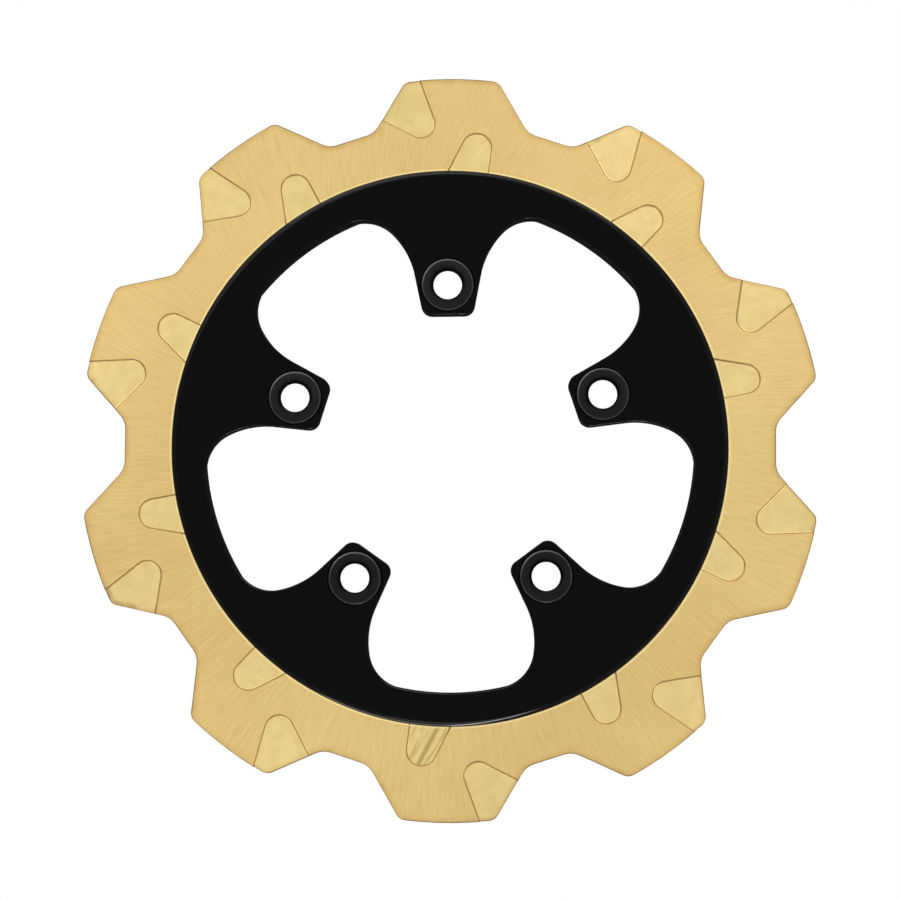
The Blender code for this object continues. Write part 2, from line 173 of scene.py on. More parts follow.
def ring_outline():
    corners = []
    spans = 20
    for lobe in range(LOBES):
        middle = 90.0 - 360.0 / LOBES * lobe
        for k in range(spans + 1):
            angle = middle + TIP_HALF_ANGLE - 2 * TIP_HALF_ANGLE * k / spans
            if k in (0, spans):
                corners.append((*polar(TIP_RADIUS, angle), TIP_FILLET))
            elif 2 <= k <= spans - 2:
                corners.append((*polar(TIP_RADIUS, angle), 0))
        valley = middle - 180.0 / LOBES
        half = 180.0 / LOBES - ROOT_HALF_ANGLE
        root = VALLEY_RADIUS / math.cos(math.radians(half))
        for side in (half, -half):
            corners.append((*polar(root, valley + side), ROOT_FILLET))
    return filleted(corners, 10)


def tongue(pocket, degrees, grow=0.0, steps=26):
    """A pocket's outline moved outward by this much: a round end and two straight edges that run out of the ring."""
    (cx, cy), radius, edges, lengths = pocket
    radius = radius + grow
    first, second = (math.radians(a) for a in edges)
    start, end = first - math.pi / 2, second + math.pi / 2
    turn = (end - start) % (2 * math.pi) - 2 * math.pi
    arc = []
    for k in range(steps + 1):
        a = start + turn * k / steps
        arc.append((cx + radius * math.cos(a), cy + radius * math.sin(a)))
    out, back = lengths
    head = (arc[0][0] + out * math.cos(first), arc[0][1] + out * math.sin(first))
    tail = (arc[-1][0] + back * math.cos(second), arc[-1][1] + back * math.sin(second))
    return [tooth_frame(p, degrees) for p in [head, *arc, tail]]


def lug_side(corner_steps=8, sweep_steps=14, end_steps=14):
    slope = math.tan(math.radians(LUG_SIDE_ANGLE))
    at_x, at_y = LUG_SIDE_AT
    corner = (at_x + slope * (LUG_END - at_y), LUG_END)
    top = (at_x + slope * (LUG_SIDE_TOP - at_y), LUG_SIDE_TOP)
    points = filleted(
        [(0.0, LUG_END, 0), (*corner, LUG_CORNER), (*top, 0)], corner_steps
    )[1:]
    start, end = math.radians(LUG_SIDE_ANGLE), math.radians(SWEEP_TO)
    cx = top[0] + SWEEP_RADIUS * math.cos(start)
    cy = top[1] - SWEEP_RADIUS * math.sin(start)
    for k in range(1, sweep_steps + 1):
        a = start + (end - start) * k / sweep_steps
        points.append((cx - SWEEP_RADIUS * math.cos(a), cy + SWEEP_RADIUS * math.sin(a)))
    px, py = points[-1]
    along = px * math.cos(end) - py * math.sin(end)
    radius = (WINDOW_RADIUS**2 - px * px - py * py) / (2 * (WINDOW_RADIUS + along))
    cx, cy = px + radius * math.cos(end), py - radius * math.sin(end)
    meets = math.atan2(cx, cy)
    finish = math.pi / 2 + meets
    for k in range(1, end_steps + 1):
        a = end + (finish - end) * k / end_steps
        points.append((cx - radius * math.cos(a), cy + radius * math.sin(a)))
    return points, math.degrees(meets)


def carrier_opening():
    side, meets = lug_side()
    pitch = 360.0 / LUGS
    points = []
    for lug in range(LUGS):
        middle = 90.0 - pitch * lug
        points += [tooth_frame((-x, y), middle) for x, y in reversed(side)]
        points += [tooth_frame(p, middle) for p in side]
        left = pitch - 2 * meets
        for k in range(1, 24):
            points.append(polar(WINDOW_RADIUS, middle - meets - left * k / 24))
    return points


def hub_outline():
    """The hub's wall: a circle with a round notch cut inward at each drive pin."""
    points = []
    pitch = 360.0 / PINS
    cosine = (PIN_CIRCLE**2 + HUB_RADIUS**2 - PIN_NOTCH**2) / (
        2 * PIN_CIRCLE * HUB_RADIUS
    )
    spread = math.degrees(math.acos(cosine))
    for pin in range(PINS):
        middle = 108.0 + TEETH_TURN - pitch * pin
        centre = polar(PIN_CIRCLE, middle)
        first = polar(HUB_RADIUS, middle + spread)
        last = polar(HUB_RADIUS, middle - spread)
        start = math.atan2(first[1] - centre[1], first[0] - centre[0])
        end = math.atan2(last[1] - centre[1], last[0] - centre[0])
        turn = (end - start) % (2 * math.pi)
        for k in range(17):
            a = start + turn * k / 16
            points.append(
                (centre[0] + PIN_NOTCH * math.cos(a), centre[1] + PIN_NOTCH * math.sin(a))
            )
        left = pitch - 2 * spread
        for k in range(1, 20):
            points.append(polar(HUB_RADIUS, middle - spread - left * k / 20))
    return points


def offset_loop(points, outward):
    """A closed outline moved outward by this much, with mitred corners."""
    p = np.array(points, float)
    before, after = np.roll(p, 1, axis=0), np.roll(p, -1, axis=0)
    a, b = p - before, after - p
    a /= np.linalg.norm(a, axis=1)[:, None]
    b /= np.linalg.norm(b, axis=1)[:, None]
    area = float((p[:, 0] * after[:, 1] - p[:, 1] * after[:, 0]).sum())
    side = 1.0 if area > 0 else -1.0
    na = np.stack([a[:, 1], -a[:, 0]], axis=1) * side
    nb = np.stack([b[:, 1], -b[:, 0]], axis=1) * side
    middle = na + nb
    middle /= np.linalg.norm(middle, axis=1)[:, None]
    stretch = np.clip((middle * na).sum(axis=1), 0.3, 1.0)
    return [tuple(q) for q in p + middle * (outward / stretch)[:, None]]


def distance_to(points, line, closed):
    """Each point's distance to a polyline."""
    p = np.array(points, float)
    a = np.array(line, float)
    b = np.roll(a, -1, axis=0)
    if not closed:
        a, b = a[:-1], b[:-1]
    best = np.full(len(p), 1e9)
    for (ax, ay), (bx, by) in zip(a, b):
        dx, dy = bx - ax, by - ay
        long = dx * dx + dy * dy
        if long < 1e-18:
            continue
        t = np.clip(((p[:, 0] - ax) * dx + (p[:, 1] - ay) * dy) / long, 0.0, 1.0)
        best = np.minimum(best, np.hypot(p[:, 0] - ax - t * dx, p[:, 1] - ay - t * dy))
    return best


def within(points, loop):
    """Which points lie inside a closed outline."""
    p = np.array(points, float)
    a = np.array(loop, float)
    b = np.roll(a, -1, axis=0)
    inside = np.zeros(len(p), bool)
    for (ax, ay), (bx, by) in zip(a, b):
        if ay == by:
            continue
        spans = (ay > p[:, 1]) != (by > p[:, 1])
        crossing = ax + (p[:, 1] - ay) * (bx - ax) / (by - ay)
        inside ^= spans & (p[:, 0] < crossing)
    return inside


def triangulated(loops, chains, extra, inside):
    """Points and triangles of the flat region where inside(centres) holds, with every loop and chain kept as edges."""
    verts, edges = [], []
    for line, closed in [(l, True) for l in loops] + [(c, False) for c in chains]:
        start = len(verts)
        verts += [Vector(q) for q in line]
        edges += [(start + k, start + k + 1) for k in range(len(line) - 1)]
        if closed:
            edges.append((len(verts) - 1, start))
    verts += [Vector(q) for q in extra]
    made = geometry.delaunay_2d_cdt(verts, edges, [], 0, 1e-4, False)
    points = np.array([(v.x, v.y) for v in made[0]], float)
    triangles = np.array([f for f in made[2] if len(f) == 3], int)
    keep = inside(points[triangles].mean(axis=1))
    triangles = triangles[keep]
    corners = points[triangles]
    u, v = corners[:, 1] - corners[:, 0], corners[:, 2] - corners[:, 0]
    turned = u[:, 0] * v[:, 1] - u[:, 1] * v[:, 0] < 0
    triangles[turned] = triangles[turned][:, ::-1]
    used, index = np.unique(triangles, return_inverse=True)
    return points[used], index.reshape(triangles.shape)


class Shell:
    """Points (x, y, h) in millimetres and faces, made into one object in the frame of the CAD."""

    def __init__(self):
        self.points = []
        self.faces = []

    def loop(self, outline, height):
        start = len(self.points)
        self.points += [(x, y, height) for x, y in outline]
        return list(range(start, len(self.points)))

    def join(self, a, b, closed=True):
        count = len(a)
        for k in range(count if closed else count - 1):
            n = (k + 1) % count
            self.faces.append((a[k], a[n], b[n], b[k]))

    def tube(self, rings):
        """Joins (outline, height) rings that have the same number of points."""
        made = [self.loop(outline, height) for outline, height in rings]
        for a, b in zip(made, made[1:]):
            self.join(a, b)
        return made

    def flat(self, points, triangles, heights):
        start = len(self.points)
        self.points += [(x, y, h) for (x, y), h in zip(points, heights)]
        self.faces += [tuple(int(i) + start for i in t) for t in triangles]

    def disc(self, ring, centre, height):
        start = len(self.points)
        self.points.append((*centre, height))
        for k in range(len(ring)):
            self.faces.append((ring[k], ring[(k + 1) % len(ring)], start))


def mesh_object(name, points, faces, sharp=38.0, marks=None):
    """One object of these points in millimetres (x, y, h), merged, with its faces turned outward."""
    mesh = bpy.data.meshes.new(name)
    co = np.array(points, float)
    world = np.stack([co[:, 0], -co[:, 2], co[:, 1]], axis=1) * 0.001
    mesh.from_pydata([tuple(p) for p in world], [], [tuple(f) for f in faces])
    for label, values in (marks or {}).items():
        attribute = mesh.attributes.new(label, "FLOAT", "POINT")
        attribute.data.foreach_set("value", np.array(values, np.float32))
    bm = bmesh.new()
    bm.from_mesh(mesh)
    bmesh.ops.remove_doubles(bm, verts=bm.verts, dist=3e-6)
    bmesh.ops.dissolve_degenerate(bm, edges=bm.edges, dist=1e-7)
    bmesh.ops.recalc_face_normals(bm, faces=bm.faces)
    bm.to_mesh(mesh)
    bm.free()
    mesh.shade_smooth()
    mesh.set_sharp_from_angle(angle=math.radians(sharp))
    obj = bpy.data.objects.new(name, mesh)
    bpy.context.scene.collection.objects.link(obj)
    return obj


def quarter(radius, steps):
    """(inset, drop) pairs down a rounded edge, from the flat face to the wall."""
    pairs = []
    for k in range(steps + 1):
        a = math.pi / 2 * k / steps
        pairs.append((radius * (1 - math.sin(a)), radius * (1 - math.cos(a))))
    return pairs


def drop_at(distance, pairs):
    """The drop of a rounded edge at these distances from it."""
    inset = [p[0] for p in reversed(pairs)]
    drop = [p[1] for p in reversed(pairs)]
    return np.interp(distance, inset, drop, right=0.0)


# The friction ring: one tooth's sector, copied round


POCKET_PROFILE = (
    (-0.30, 0.0),
    (-0.08, 0.0),
    (0.0, 0.035),
    (0.08, 0.13),
    (0.34, 0.60),
    (0.46, 0.73),
    (0.64, 0.80),
    (0.95, 0.80),
)


def ring_sector():
    pitch = 360.0 / LOBES
    half = pitch / 2
    low, high = 90.0 - half, 90.0 + half
    outline = ring_outline()
    pairs = quarter(0.30, 3)
    levels = [p[0] for p in reversed(pairs)] + [0.55, 1.1, 2.1, 3.5]
    chains = []
    for level in levels:
        line = []
        for p in offset_loop(outline, -level):
            angle = math.degrees(math.atan2(p[1], p[0]))
            if low + 0.02 < angle < high - 0.02:
                line.append((angle, p))
        line.sort(key=lambda item: -item[0])
        chains.append(
            [
                polar(VALLEY_RADIUS - level, high),
                *[p for _, p in line],
                polar(VALLEY_RADIUS - level, low),
            ]
        )
    # The inner circle from one drive pin's notch to the next
    cosine = (PIN_CIRCLE**2 + RING_INNER**2 - PIN_NOTCH**2) / (
        2 * PIN_CIRCLE * RING_INNER
    )
    spread = math.degrees(math.acos(cosine))
    inner = []
    centre = polar(PIN_CIRCLE, high)
    last = polar(RING_INNER, high - spread)
    start = math.radians(high)
    end = math.atan2(last[1] - centre[1], last[0] - centre[0])
    turn = (end - start + math.pi) % (2 * math.pi) - math.pi
    for k in range(9):
        a = start + turn * k / 8
        inner.append(
            (centre[0] + PIN_NOTCH * math.cos(a), centre[1] + PIN_NOTCH * math.sin(a))
        )
    left = pitch - 2 * spread
    for k in range(1, 30):
        inner.append(polar(RING_INNER, high - spread - left * k / 30))
    inner += [(-x, y) for x, y in reversed([tooth_frame(p, 90.0) for p in inner[:9]])]
    chains.append(inner)
    # The sector's two straight sides
    notch_top = PIN_CIRCLE + PIN_NOTCH
    grid = [notch_top + 1.7 * k for k in range(1, 10)]
    radii = (
        [notch_top]
        + [r for r in grid if r < VALLEY_RADIUS - 4.2]
        + [VALLEY_RADIUS - level for level in reversed(levels)]
    )
    for side in (low, high):
        chains.append([polar(r, side) for r in radii])
    pockets = (OUTER_POCKET, INNER_POCKET)
    for pocket in pockets:
        for depth_at, _ in POCKET_PROFILE:
            chains.append(tongue(pocket, 90.0, -depth_at))
    # Points over the flat parts
    extra = []
    for row in range(16):
        radius = 109.0 + 2.5 * row
        for k in range(1, 25):
            extra.append(polar(radius, low + pitch * k / 25))
    clear = distance_to(extra, outline, True) > 4.0
    clear &= distance_to(extra, inner, False) > 0.8
    for pocket in pockets:
        for depth_at in (-0.3, 0.95):
            clear &= distance_to(extra, tongue(pocket, 90.0, -depth_at), False) > 0.5
        clear &= distance_to(extra, tongue(pocket, 90.0), False) > 1.2
    extra = [p for p, ok in zip(extra, clear) if ok]
    domain = chains[0] + list(reversed(inner))
    points, triangles = triangulated(
        [], chains, extra, lambda centres: within(centres, domain)
    )
    edge = distance_to(points, outline, True)
    depth = np.zeros(len(points))
    pocket_mark = np.full(len(points), -6.0)
    for pocket in pockets:
        line = tongue(pocket, 90.0)
        signed = distance_to(points, line, False)
        signed = np.where(within(points, line), signed, -signed)
        depth = np.maximum(
            depth,
            np.interp(
                signed, [p[0] for p in POCKET_PROFILE], [p[1] for p in POCKET_PROFILE]
            ),
        )
        pocket_mark = np.maximum(pocket_mark, signed)
    height = RING_HALF - depth - drop_at(edge, pairs)
    return points, triangles, height, edge, np.clip(pocket_mark, -6.0, 6.0), (low, high)


def friction_ring():
    points, triangles, height, edge, pocket, (low, high) = ring_sector()
    count = len(points)
    angle = np.degrees(np.arctan2(points[:, 1], points[:, 0]))
    on_side = (np.abs(angle - low) < 1e-3) | (np.abs(angle - high) < 1e-3)
    ends = np.concatenate([triangles[:, [0, 1]], triangles[:, [1, 2]], triangles[:, [2, 0]]])
    _, index, times = np.unique(
        np.sort(ends, axis=1), axis=0, return_inverse=True, return_counts=True
    )
    border = ends[times[index.reshape(-1)] == 1]
    border = border[~(on_side[border[:, 0]] & on_side[border[:, 1]])]
    xy, z, marks_edge, marks_pocket, faces = [], [], [], [], []
    for lobe in range(LOBES):
        a = math.radians(TEETH_TURN) - 2 * math.pi / LOBES * lobe
        c, s = math.cos(a), math.sin(a)
        turned = np.stack(
            [points[:, 0] * c - points[:, 1] * s, points[:, 0] * s + points[:, 1] * c],
            axis=1,
        )
        start = 2 * count * lobe
        xy += [turned, turned]
        z += [height, -height]
        marks_edge += [edge, edge]
        marks_pocket += [pocket, pocket]
        faces += (triangles + start).tolist()
        faces += (triangles[:, ::-1] + start + count).tolist()
        faces += [
            (b + start, a_ + start, a_ + start + count, b + start + count)
            for a_, b in border.tolist()
        ]
    xy, z = np.concatenate(xy), np.concatenate(z)
    return mesh_object(
        "friction_ring_ground",
        np.column_stack([xy, z]),
        faces,
        sharp=40.0,
        marks={
            "edge_mm": np.concatenate(marks_edge),
            "pocket_mm": np.concatenate(marks_pocket),
        },
    )


# The carrier


def carrier():
    shell = Shell()
    opening = carrier_opening()
    window_edge = quarter(0.45, 4)
    bore_edge = quarter(0.28, 3)
    big = 360
    seat_steps = 96
    lug_centres = [polar(BOLT_RADIUS, 90.0 - 72.0 * k) for k in range(LUGS)]
    flat_rim = RIM_RADIUS - RIM_ROUND

    # Front face, out to where the rim's round-over begins
    loops = [offset_loop(opening, inset) for inset, _ in window_edge]
    loops += [offset_loop(opening, 0.75)]
    loops += [circle((0, 0), flat_rim, big), circle((0, 0), flat_rim - 0.6, big)]
    for centre in lug_centres:
        for inset, _ in bore_edge:
            loops.append(circle(centre, COUNTERBORE_RADIUS + inset, seat_steps))
        loops.append(circle(centre, COUNTERBORE_RADIUS + 0.5, seat_steps))

    def on_front(centres):
        keep = ~within(centres, opening)
        keep &= np.hypot(centres[:, 0], centres[:, 1]) < flat_rim - 0.001
        for c in lug_centres:
            keep &= (
                np.hypot(centres[:, 0] - c[0], centres[:, 1] - c[1])
                > COUNTERBORE_RADIUS - 0.004
            )
        return keep

    points, triangles = triangulated(loops, [], [], on_front)
    fall = drop_at(distance_to(points, opening, True), window_edge)
    for c in lug_centres:
        away = np.hypot(points[:, 0] - c[0], points[:, 1] - c[1]) - COUNTERBORE_RADIUS
        fall += drop_at(away, bore_edge)
    shell.flat(points, triangles, FACE_HEIGHT - fall)

    # Rim: round-over, a soft lower edge and the underside that laps the ring
    rings = []
    steps = 16
    low = RIM_BACK + 0.22
    for k in range(steps + 1):
        a = math.pi / 2 * k / steps
        rings.append(
            (
                circle((0, 0), flat_rim + RIM_ROUND * math.sin(a), big),
                low + (FACE_HEIGHT - low) * math.cos(a),
            )
        )
    for k in range(1, 4):
        a = math.pi / 2 * k / 3
        rings.append(
            (circle((0, 0), RIM_RADIUS - 0.2 * (1 - math.cos(a)), big), low - 0.22 * math.sin(a))
        )
    shell.tube(rings)
    hub = hub_outline()
    under = RIM_RADIUS - 0.2
    points, triangles = triangulated(
        [circle((0, 0), under, big), hub],
        [],
        [],
        lambda c: ~within(c, hub) & (np.hypot(c[:, 0], c[:, 1]) < under - 0.0005),
    )
    shell.flat(points, triangles, np.full(len(points), RIM_BACK))
    shell.tube([(hub, RIM_BACK), (hub, HUB_BACK)])

    # Back face
    screw_centres = [polar(SCREW_CIRCLE, 90.0 + TEETH_TURN - 36.0 * k) for k in range(SCREWS)]
    loops = [offset_loop(opening, inset) for inset, _ in window_edge]
    loops += [offset_loop(opening, 0.75), hub]
    loops += [circle(c, BOSS_RADIUS, seat_steps) for c in lug_centres]
    loops += [circle(c, SCREW_HOLE, 24) for c in screw_centres]

    def on_back(centres):
        keep = ~within(centres, opening) & within(centres, hub)
        for c in lug_centres:
            keep &= ~within(centres, circle(c, BOSS_RADIUS, seat_steps))
        for c in screw_centres:
            keep &= ~within(centres, circle(c, SCREW_HOLE, 24))
        return keep

    points, triangles = triangulated(loops, [], [], on_back)
    fall = drop_at(distance_to(points, opening, True), window_edge)
    shell.flat(points, triangles, HUB_BACK + fall)
    depth = window_edge[-1][1]
    shell.tube([(opening, FACE_HEIGHT - depth), (opening, HUB_BACK + depth)])

    # Screw holes
    for c in screw_centres:
        rings = shell.tube(
            [(circle(c, SCREW_HOLE, 24), HUB_BACK), (circle(c, SCREW_HOLE, 24), 3.0)]
        )
        shell.disc(rings[-1], c, 3.0)

    # Lug bosses, bores and the seats of the bushes' flanges
    for c in lug_centres:
        rings = [(BOSS_RADIUS, HUB_BACK)]
        for inset, drop in reversed(quarter(0.5, 4)):
            rings.append((BOSS_RADIUS - inset, BOSS_BACK + drop))
        rings += [
            (LUG_BORE + 0.3, BOSS_BACK),
            (LUG_BORE, BOSS_BACK + 0.3),
            (LUG_BORE, COUNTERBORE_FLOOR - 0.2),
            (LUG_BORE + 0.2, COUNTERBORE_FLOOR),
            (COUNTERBORE_RADIUS - 0.12, COUNTERBORE_FLOOR),
            (COUNTERBORE_RADIUS, COUNTERBORE_FLOOR + 0.12),
            (COUNTERBORE_RADIUS, FACE_HEIGHT - bore_edge[-1][1]),
        ]
        shell.tube([(circle(c, r, seat_steps), h) for r, h in rings])
    return mesh_object("carrier_body", shell.points, shell.faces, sharp=34.0)


# Turned pieces


def turned(name, profile, spot, steps, sharp=34.0):
    """A closed (radius, height) profile turned round a point of the rotor."""
    shell = Shell()
    rings = []
    for radius, height in profile:
        if radius > 1e-6:
            rings.append(shell.loop(circle(spot, radius, steps), height))
        else:
            shell.points.append((*spot, height))
            rings.append([len(shell.points) - 1])
    pairs = list(zip(rings, rings[1:]))
    if profile[0][0] > 1e-6 and profile[-1][0] > 1e-6:
        pairs.append((rings[-1], rings[0]))
    for a, b in pairs:
        if len(a) == 1 or len(b) == 1:
            ring, point = (b, a[0]) if len(a) == 1 else (a, b[0])
            for k in range(steps):
                shell.faces.append((ring[k], ring[(k + 1) % steps], point))
        else:
            shell.join(a, b)
    return mesh_object(name, shell.points, shell.faces, sharp)


def retaining_ring():
    shell = Shell()
    big = 360
    centres = [polar(SCREW_CIRCLE, 90.0 + TEETH_TURN - 36.0 * k) for k in range(SCREWS)]
    chamfer, soft = 0.8, 0.25
    outer, inner = RETAINER_OUTER - chamfer, RETAINER_INNER + soft

    def annulus(r_in, r_out, holes):
        loops = [circle((0, 0), r_in, big), circle((0, 0), r_out, big)]
        loops += [circle(c, holes, 48) for c in centres]
        a, b = loops[0], loops[1]

        def keep(m):
            ok = ~within(m, a) & within(m, b)
            for hole in loops[2:]:
                ok &= ~within(m, hole)
            return ok

        return triangulated(loops, [], [], keep)

    points, triangles = annulus(inner, outer, SINK_MOUTH + 0.12)
    shell.flat(points, triangles, np.full(len(points), RETAINER_BACK))
    points, triangles = annulus(RETAINER_INNER, RETAINER_OUTER - 0.2, SCREW_HOLE)
    shell.flat(points, triangles, np.full(len(points), RETAINER_FRONT))
    rings = [(outer, RETAINER_BACK)]
    rings += [
        (RETAINER_OUTER - 0.14, RETAINER_BACK + chamfer - 0.14),
        (RETAINER_OUTER, RETAINER_BACK + chamfer + 0.16),
        (RETAINER_OUTER, RETAINER_FRONT - 0.2),
        (RETAINER_OUTER - 0.2, RETAINER_FRONT),
    ]
    shell.tube([(circle((0, 0), r, big), h) for r, h in rings])
    rings = [
        (inner, RETAINER_BACK),
        (RETAINER_INNER + 0.07, RETAINER_BACK + 0.07),
        (RETAINER_INNER, RETAINER_BACK + soft),
        (RETAINER_INNER, RETAINER_FRONT),
    ]
    shell.tube([(circle((0, 0), r, big), h) for r, h in rings])
    for c in centres:
        rings = [
            (SINK_MOUTH + 0.12, RETAINER_BACK),
            (SINK_MOUTH, RETAINER_BACK + 0.12),
            (SINK_MOUTH, -5.1),
            (SCREW_HOLE, -3.65),
            (SCREW_HOLE, RETAINER_FRONT),
        ]
        shell.tube([(circle(c, r, 48), h) for r, h in rings])
    return mesh_object("retaining_ring_plate", shell.points, shell.faces, sharp=34.0)


def bush(name, spot):
    bore = BUSH_BORE
    profile = filleted(
        [
            (bore + BUSH_CHAMFER, BUSH_FRONT, 0.2),
            (BUSH_FLANGE, BUSH_FRONT, 0.95),
            (BUSH_FLANGE, BUSH_UNDER_FLANGE, 0.15),
            (BUSH_SHANK, BUSH_UNDER_FLANGE, 0.12),
            (BUSH_SHANK, BUSH_BACK, 0.3),
            (BUSH_MOUTH, BUSH_BACK, 0.15),
            (bore, BUSH_BORE_BACK, 0),
            (bore, BUSH_BORE_FRONT, 0.1),
        ],
        6,
    )
    return turned(name, profile, spot, 120, sharp=60.0)


def pin(name, spot):
    profile = filleted(
        [
            (0.0, PIN_FRONT, 0),
            (PIN_RADIUS - 0.4, PIN_FRONT, 0.15),
            (PIN_RADIUS, PIN_FRONT - 0.4, 0.15),
            (PIN_RADIUS, PIN_BACK + 0.4, 0.15),
            (PIN_RADIUS - 0.4, PIN_BACK, 0.15),
            (0.0, PIN_BACK, 0),
        ],
        3,
        closed=False,
    )
    return turned(name, profile, spot, 64, sharp=60.0)


def screw(name, spot, degrees):
    """A countersunk screw with a hexagon socket, seen from behind, and a threaded shank."""
    shell = Shell()
    steps = 48
    head = circle(spot, SCREW_HEAD - 0.14, steps, degrees)
    flats = SOCKET_FLATS / 2
    hexagon = []
    for k in range(6):
        a, b = degrees + 60.0 * k + 30.0, degrees + 60.0 * (k + 1) + 30.0
        p, q = polar(flats / math.cos(math.pi / 6), a), polar(flats / math.cos(math.pi / 6), b)
        for t in range(4):
            hexagon.append(
                (
                    spot[0] + p[0] + (q[0] - p[0]) * t / 4,
                    spot[1] + p[1] + (q[1] - p[1]) * t / 4,
                )
            )
    mouth = [
        (spot[0] + (x - spot[0]) * 1.1, spot[1] + (y - spot[1]) * 1.1) for x, y in hexagon
    ]
    points, triangles = triangulated(
        [head, mouth], [], [], lambda m: within(m, head) & ~within(m, mouth)
    )
    shell.flat(points, triangles, np.full(len(points), SCREW_BACK))
    rings = shell.tube(
        [(mouth, SCREW_BACK), (hexagon, SCREW_BACK + 0.1), (hexagon, SCREW_BACK + SOCKET_DEPTH)]
    )
    shell.disc(rings[-1], spot, SCREW_BACK + SOCKET_DEPTH + 0.25)
    profile = [
        (SCREW_HEAD - 0.14, SCREW_BACK),
        (SCREW_HEAD - 0.04, SCREW_BACK + 0.05),
        (SCREW_HEAD, SCREW_BACK + 0.14),
        (SCREW_HEAD, SCREW_BACK + 0.2),
        (SCREW_SHANK, SCREW_BACK + 0.2 + SCREW_HEAD - SCREW_SHANK),
    ]
    # Thread: crests at the shank's radius and roots a quarter of a millimetre inside
    height = SCREW_BACK + 0.2 + SCREW_HEAD - SCREW_SHANK + 0.5
    while height < SCREW_TIP - 0.55:
        profile += [
            (SCREW_SHANK, height),
            (SCREW_SHANK - 0.25, height + 0.2),
            (SCREW_SHANK - 0.25, height + 0.26),
            (SCREW_SHANK, height + 0.44),
        ]
        height += 0.5
    profile += [(SCREW_SHANK, SCREW_TIP - 0.35), (SCREW_SHANK - 0.35, SCREW_TIP)]
    rings = shell.tube([(circle(spot, r, steps, degrees), h) for r, h in profile])
    shell.disc(rings[-1], spot, SCREW_TIP)
    return mesh_object(name, shell.points, shell.faces, sharp=34.0)


# Materials


class Nodes:
    """Short names for the nodes that the materials are made of."""

    def __init__(self, name):
        self.material = bpy.data.materials.new(name)
        self.material.use_nodes = True
        self.tree = self.material.node_tree
        self.shader = self.tree.nodes["Principled BSDF"]

    def put(self, socket, value):
        if isinstance(value, bpy.types.NodeSocket):
            self.tree.links.new(value, socket)
        elif isinstance(value, (tuple, list)) and len(value) == 3 and socket.type == "RGBA":
            socket.default_value = (*value, 1.0)
        else:
            socket.default_value = value

    def set(self, **values):
        for label, value in values.items():
            self.put(self.shader.inputs[label.replace("_", " ")], value)

    def node(self, kind, **settings):
        made = self.tree.nodes.new(kind)
        for label, value in settings.items():
            setattr(made, label, value)
        return made

    def math(self, operation, a, b=None, c=None, clamp=False):
        n = self.node("ShaderNodeMath", operation=operation, use_clamp=clamp)
        for k, value in enumerate((a, b, c)):
            if value is not None:
                self.put(n.inputs[k], value)
        return n.outputs[0]

    def place(self):
        return self.node("ShaderNodeTexCoord").outputs["Object"]

    def split(self, vector):
        n = self.node("ShaderNodeSeparateXYZ")
        self.put(n.inputs[0], vector)
        return n.outputs

    def vector(self, x, y, z):
        n = self.node("ShaderNodeCombineXYZ")
        for k, value in enumerate((x, y, z)):
            self.put(n.inputs[k], value)
        return n.outputs[0]

    def noise(self, vector, scale, detail=2.0, rough=0.5, distortion=0.0):
        n = self.node("ShaderNodeTexNoise")
        self.put(n.inputs["Vector"], vector)
        n.inputs["Scale"].default_value = scale
        n.inputs["Detail"].default_value = detail
        n.inputs["Roughness"].default_value = rough
        n.inputs["Distortion"].default_value = distortion
        return n.outputs["Fac"]

    def span(self, value, low, high, to_low=0.0, to_high=1.0, smooth=False):
        n = self.node("ShaderNodeMapRange")
        if smooth:
            n.interpolation_type = "SMOOTHSTEP"
        self.put(n.inputs["Value"], value)
        n.inputs["From Min"].default_value = low
        n.inputs["From Max"].default_value = high
        n.inputs["To Min"].default_value = to_low
        n.inputs["To Max"].default_value = to_high
        return n.outputs["Result"]

    def mark(self, label):
        return self.node("ShaderNodeAttribute", attribute_name=label).outputs["Fac"]

    def bump(self, height, strength, distance, normal=None):
        n = self.node("ShaderNodeBump")
        n.inputs["Strength"].default_value = strength
        n.inputs["Distance"].default_value = distance
        self.put(n.inputs["Height"], height)
        if normal is not None:
            self.put(n.inputs["Normal"], normal)
        return n.outputs["Normal"]


def mix_colour(n, factor, a, b):
    made = n.node("ShaderNodeMix", data_type="RGBA")
    colour = [s for s in made.inputs if s.type == "RGBA"]
    number = [s for s in made.inputs if s.type == "VALUE"]
    n.put(number[0], factor)
    n.put(colour[0], a)
    n.put(colour[1], b)
    return [s for s in made.outputs if s.type == "RGBA"][0]


